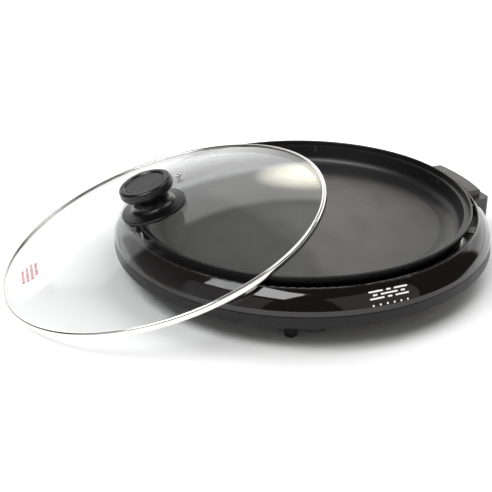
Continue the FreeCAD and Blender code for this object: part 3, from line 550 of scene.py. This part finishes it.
@dataclass
class LeaningLid(SubAssembly):
    """Glass dome with its rim, eyelet and knob."""

    finishes: tuple[tuple[str, Finish], ...] = (
        ("lid_glass", LID_GLASS), ("steam_eyelet", RIM_STAINLESS),
        ("knob_base", KNOB_PHENOLIC), ("knob_grip", KNOB_PHENOLIC),
        ("knob_cap", KNOB_CAP_PLASTIC), ("knob_gasket", GASKET_SILICONE),
        ("knob_washer", BRACKET_STEEL), ("knob_screw", ZINC_SCREW))
    turn: float = 175.0
    tilt: float = 16.379
    centre: Vector = field(default_factory=lambda: Vector((-0.15222, 0.01332, 0.05436)))
    print_rho: float = 0.1425
    print_rise: float = 0.02
    print_rows: tuple[PrintedRow, ...] = (
        PrintedRow((0.0030, 0.0040, 0.0026, 0.0036, 0.0030), 0.0024, 0.0036, 0.0078),
        PrintedRow((0.0036, 0.0026, 0.0040, 0.0030, 0.0030, 0.0034), 0.0024, 0.0036, 0.0026),
        PrintedRow((0.0030, 0.0036, 0.0026, 0.0040, 0.0026, 0.0030), 0.0024, 0.0036, -0.0026),
        PrintedRow((0.0040, 0.0030, 0.0034, 0.0026, 0.0036), 0.0024, 0.0036, -0.0078))
    rim_radius: float = 0.17548
    rim_spokes: int = 300
    rim_outline: tuple[Point2, ...] = (
        (0.00002, -0.0042), (0.00001, -0.0026), (0.00001, -0.0010), (0.00006, -0.0003),
        (0.00020, 0.0002), (0.00042, 0.00065), (0.00072, 0.00105), (0.00105, 0.00135),
        (0.00145, 0.00155), (0.0020, 0.00155), (0.0028, 0.00135), (0.0034, 0.00115),
        (0.0038, 0.00092), (0.0040, 0.0006), (0.0040, -0.0038), (0.0038, -0.0041),
        (0.0022, -0.0045), (0.0008, -0.00495), (0.00035, -0.0048), (0.0001, -0.0046))

    def axes(self) -> tuple[Vector, Vector, Vector]:
        """The lid's own axes.

        Returns:
            Downhill, sideways and upwards directions.
        """
        spin = (Matrix.Rotation(math.radians(self.turn), 3, "Z")
                @ Matrix.Rotation(math.radians(self.tilt), 3, "Y"))
        return spin @ Vector((1, 0, 0)), spin @ Vector((0, 1, 0)), spin @ Vector((0, 0, 1))

    def build_rim(self) -> str:
        """Makes the rolled stainless rim, smoother than the CAD one.

        Returns:
            The piece's name.
        """
        down, side, up = self.axes()
        count = len(self.rim_outline)
        verts: list[tuple[float, ...]] = []
        faces: list[tuple[int, ...]] = []
        for spoke in range(self.rim_spokes):
            angle = 2 * math.pi * spoke / self.rim_spokes
            out = down * math.cos(angle) + side * math.sin(angle)
            verts += [tuple(self.centre + out * (self.rim_radius - inset) + up * rise)
                      for inset, rise in self.rim_outline]
            here, there = spoke * count, (spoke + 1) % self.rim_spokes * count
            for i in range(count):
                j = (i + 1) % count
                faces.append((here + i, there + i, there + j, here + j))
        band = link_mesh("lid_rim_band", verts, faces, RIM_STAINLESS.material())
        band.data.shade_smooth()
        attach(band, "lid")
        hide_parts("lid_rim")
        return band.name

    def build_print(self) -> str:
        """Makes the plain red print near the lid's rim.

        Returns:
            The piece's name.
        """
        down, side, up = self.axes()
        centre = self.centre + down * self.print_rho + up * self.print_rise
        return SurfacePrint("lid_print_rows", "lid_glass", "lid", LID_PRINT, self.print_rows,
                            centre, side, -down).build()


# ------------------------------------------------------------------ studio and camera
def direction(turn: float, rise: float) -> Vector:
    """Unit direction from the griddle.

    Args:
        turn: Angle round the vertical from +X.
        rise: Angle above the floor.

    Returns:
        The direction.
    """
    around, lift = math.radians(turn), math.radians(rise)
    return Vector((math.cos(around) * math.cos(lift), math.sin(around) * math.cos(lift),
                   math.sin(lift)))


@dataclass
class Softbox:
    """Rectangular studio light, placed by the direction in which the griddle sees it."""

    name: str
    turn: float
    rise: float
    width: float
    height: float
    radiance: float
    colour: Colour = (1.0, 1.0, 1.0)
    distance: float = 2.4

    def span(self, angle: float) -> float:
        """Width that fills an angle, in degrees, at the light's distance."""
        return 2 * self.distance * math.tan(math.radians(angle / 2))

    def build(self) -> str:
        """Makes the light.

        Returns:
            Its name.
        """
        data = bpy.data.lights.new(self.name, "AREA")
        data.shape = "RECTANGLE"
        data.size = self.span(self.width)
        data.size_y = self.span(self.height)
        data.energy = POWER_PER_RADIANCE * self.radiance * data.size * data.size_y
        data.color = self.colour
        light = bpy.data.objects.new(self.name, data)
        out = direction(self.turn, self.rise)
        light.location = out * self.distance
        light.rotation_mode = "QUATERNION"
        light.rotation_quaternion = (-out).to_track_quat("-Z", "Y")
        light.visible_camera = False
        bpy.context.scene.collection.objects.link(light)
        return self.name


@dataclass
class Studio:
    """Pale floor, pale surroundings and soft lights."""

    floor_radius: float = 8.0
    floor_drop: float = 0.0002
    floor_rings: int = 6
    floor_spokes: int = 96
    floor_grey: float = 0.9
    floor_roughness: float = 0.7
    floor_specular: float = 0.2
    # Painted light on the floor: where its own glow starts, where it is full, and how strong it
    # gets.
    glow_start: float = 0.17
    glow_end: float = 0.50
    glow: float = 0.85
    backdrop: tuple[Point2, ...] = (
        (0.0, 1.9), (7.0, 1.7), (13.0, 1.4), (18.0, 1.35), (19.2, 1.75), (20.8, 1.7),
        (21.8, 1.05), (30.0, 0.8), (37.0, 0.68), (38.2, 0.0))
    backdrop_left: float = -25.0
    backdrop_right: float = 82.0
    backdrop_edge: float = 5.0
    dim: float = 0.06
    camera_level: float = 1.0
    lamp: Point2 = (65.0, 25.5)
    lamp_radius: float = 8.0
    lamp_glow: float = 4.0
    lamp_colour: Colour = (1.0, 0.95, 0.78)
    softboxes: tuple[Softbox, ...] = (
        Softbox("key_softbox", -152, 57, 41, 21, 7.0),
        Softbox("right_softbox", 5, 66, 40, 26, 3.0),
        Softbox("front_panel", -69, 25, 44, 46, 0.42, (1.0, 0.98, 0.92)),
        Softbox("left_panel", -158, 25, 46, 34, 0.40))

    def build_floor(self) -> str:
        """Makes the pale floor, which brightens a little away from the griddle by painted light, a
        glow of its own.

        Returns:
            The floor's name.
        """
        rings, spokes = self.floor_rings, self.floor_spokes
        verts = [(0.0, 0.0, -self.floor_drop)]
        for ring in range(1, rings + 1):
            radius = self.floor_radius * (ring / rings) ** 2
            for spoke in range(spokes):
                angle = 2 * math.pi * spoke / spokes
                verts.append((radius * math.cos(angle), radius * math.sin(angle),
                              -self.floor_drop))
        faces = [(0, 1 + s, 1 + (s + 1) % spokes) for s in range(spokes)]
        for ring in range(rings - 1):
            for s in range(spokes):
                a, b = 1 + ring * spokes + s, 1 + ring * spokes + (s + 1) % spokes
                faces.append((a, a + spokes, b + spokes, b))
        floor = link_mesh("studio_floor", verts, faces, self.floor_paint())
        return floor.name

    def floor_paint(self) -> bpy.types.Material:
        """The floor's material, with its painted glow.

        Returns:
            The material.
        """
        made = bpy.data.materials.new("studio_floor_paint")
        made.use_nodes = True
        desk = NodeDesk(made.node_tree)
        place = desk.add("TexCoord").outputs["Object"]
        away = desk.add("VectorMath", {0: place}, operation="LENGTH").outputs["Value"]
        # Painted light: the floor glows by emission, none near the griddle and rising further off.
        glow = desk.add("MapRange", {"Value": away, "From Min": self.glow_start,
                                     "From Max": self.glow_end, "To Max": self.glow},
                        interpolation_type="SMOOTHSTEP").outputs[0]
        grey = (self.floor_grey, self.floor_grey, self.floor_grey, 1.0)
        shader = desk.add("BsdfPrincipled", {"Base Color": grey,
                                             "Roughness": self.floor_roughness,
                                             "Specular IOR Level": self.floor_specular,
                                             "Emission Color": WHITE,
                                             "Emission Strength": glow})
        desk.add("OutputMaterial", {"Surface": shader.outputs[0]})
        return made

    def build_surroundings(self) -> str:
        """Makes the world: a bright sweep low behind the griddle, and a dim room elsewhere.

        Returns:
            The world's name.
        """
        world = bpy.data.worlds.new("studio_room")
        world.use_nodes = True
        bpy.context.scene.world = world
        desk = NodeDesk(world.node_tree)
        ray = desk.add("TexCoord").outputs["Generated"]
        seen = desk.add("LightPath").outputs["Is Camera Ray"]
        level = desk.add("Mix", {0: seen, 2: self.room_light(desk, ray), 3: self.camera_level},
                         data_type="FLOAT")
        room = desk.add("Background", {"Color": WHITE, "Strength": level.outputs[0]})
        hidden = desk.maths("MULTIPLY", self.lamp_light(desk, ray),
                            desk.maths("SUBTRACT", 1.0, seen))
        lamp = desk.add("Background", {"Color": (*self.lamp_colour, 1.0), "Strength": hidden})
        both = desk.add("AddShader", {0: room.outputs[0], 1: lamp.outputs[0]})
        desk.add("OutputWorld", {"Surface": both.outputs[0]})
        return world.name

    def room_light(self, desk: NodeDesk, ray: Socket) -> Socket:
        """Light that comes from the backdrop and the dim room.

        Args:
            desk: The world's nodes.
            ray: Direction looked in.

        Returns:
            The radiance socket.
        """
        part = desk.add("SeparateXYZ", {0: ray}).outputs
        rise = desk.maths("DEGREES", desk.maths("ARCSINE", part[2]))
        behind = desk.maths("DEGREES", desk.maths("ARCTAN2", part[0], part[1]))
        sweep = desk.add("ValToRGB", {0: desk.maths("DIVIDE", rise, QUARTER_TURN)})
        ramp = sweep.color_ramp.elements
        top = max(strength for _, strength in self.backdrop)
        for index, (height, strength) in enumerate(self.backdrop):
            place = height / QUARTER_TURN
            stop = ramp[index] if index < len(ramp) else ramp.new(place)
            stop.position = place
            stop.color = (strength / top, strength / top, strength / top, 1.0)
        mask = desk.maths("MULTIPLY", sweep.outputs[0],
                          desk.window(behind, self.backdrop_left, self.backdrop_right,
                                      self.backdrop_edge))
        return desk.maths("MULTIPLY_ADD", mask, top, self.dim)

    def lamp_light(self, desk: NodeDesk, ray: Socket) -> Socket:
        """Light of the warm lamp behind the griddle.

        Args:
            desk: The world's nodes.
            ray: Direction looked in.

        Returns:
            The radiance socket.
        """
        near = desk.add("VectorMath", {0: ray, 1: direction(*self.lamp)},
                        operation="DOT_PRODUCT").outputs["Value"]
        edge = math.cos(math.radians(self.lamp_radius))
        return desk.add("MapRange", {"Value": near, "From Min": edge, "From Max": 1.0,
                                     "To Max": self.lamp_glow}).outputs[0]

    def build_lights(self) -> list[str]:
        """Makes the lights and gives their names."""
        return [box.build() for box in self.softboxes]


@dataclass
class ShotCamera:
    """Camera of the main view."""

    place: Vector = field(default_factory=lambda: Vector((-0.3698, -0.8114, 0.4544)))
    heading: float = 20.65
    pitch: float = 26.48
    roll: float = 0.65
    lens: float = 65.85
    sensor: float = 36.0

    def build(self) -> str:
        """Makes the camera and sets it as the scene's.

        Returns:
            The camera's name.
        """
        ahead = direction(QUARTER_TURN - self.heading, -self.pitch)
        level = direction(-self.heading, 0.0)
        upright = level.cross(ahead)
        roll = math.radians(self.roll)
        right = level * math.cos(roll) - upright * math.sin(roll)
        up = upright * math.cos(roll) + level * math.sin(roll)
        data = bpy.data.cameras.new("shot_camera")
        data.lens = self.lens
        data.sensor_width = self.sensor
        data.dof.use_dof = False
        camera = bpy.data.objects.new("shot_camera", data)
        turn = Matrix((right, up, -ahead)).transposed()
        camera.matrix_world = Matrix.Translation(self.place) @ turn.to_4x4()
        bpy.context.scene.collection.objects.link(camera)
        bpy.context.scene.camera = camera
        return camera.name


def report(title: str, names: Iterable[str]) -> None:
    """Logs the pieces of one sub-assembly.

    Args:
        title: What they belong to.
        names: Their names.
    """
    for name in names:
        LOG.info("%s: %s", title, name)


def main() -> None:
    """Builds the camera, the studio and the griddle's looks, in order."""
    logging.basicConfig(level=logging.INFO, format="%(message)s")
    bpy.context.scene.view_settings.view_transform = "Standard"
    report("camera", [ShotCamera().build()])
    studio = Studio()
    report("studio", [studio.build_floor(), studio.build_surroundings(),
                      *studio.build_lights()])
    base = BaseHousing()
    report("base", [*base.dress(), base.build_mark()])
    report("socket", SideSocket().dress())
    report("pan", CookingPan().dress())
    lid = LeaningLid()
    report("lid", [*lid.dress(), lid.build_rim(), lid.build_print()])


if __name__ == "__main__":
    main()
